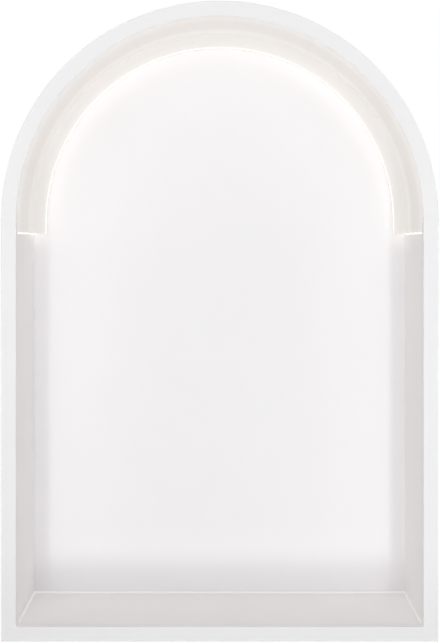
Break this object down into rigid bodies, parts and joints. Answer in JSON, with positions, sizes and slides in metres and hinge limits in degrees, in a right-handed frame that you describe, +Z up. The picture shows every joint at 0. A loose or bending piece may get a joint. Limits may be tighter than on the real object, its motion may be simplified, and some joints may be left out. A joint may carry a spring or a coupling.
{
  "type": "recessed wall niche",
  "caption": "Arched wall niche for building in: a white recess of flat boards under a half-round arch, with a flat front frame and a concealed light line behind a half-ring baffle.",
  "frame": {"origin": "on the wall's face, on the back of the frame's overhang, at the middle of its lower side", "axes": "+Z up along the niche's height, +Y into the wall, +X to the right seen from the room"},
  "size_m": [0.644, 0.1763, 0.9439],
  "materials": {
    "frame_paint": "eggshell white paint on a fine board",
    "board_paint": "matt white paint on a fine board",
    "back_paint": "matt white paint on a fine board",
    "arch_paint": "satin white paint on bent board",
    "ring_opal": "opal acrylic sheet that lets a little of the light line through",
    "joint_bead": "smooth white joint sealant, slightly glossy",
    "light_strip": "flexible strip with a continuous warm light line",
    "gland_plastic": "fine-textured moulded plastic"
  },
  "bodies": {
    "root": {"front_frame": "frame_paint", "left_side_panel": "board_paint", "right_side_panel": "board_paint", "sill_panel": "board_paint", "back_panel": "back_paint", "arch_lining": "arch_paint", "light_baffle": "ring_opal", "led_strip": "light_strip", "sill_joint_bead": "joint_bead", "left_seam_bead": "joint_bead", "right_seam_bead": "joint_bead", "cable_gland": "gland_plastic"}
  },
  "joints": []
}
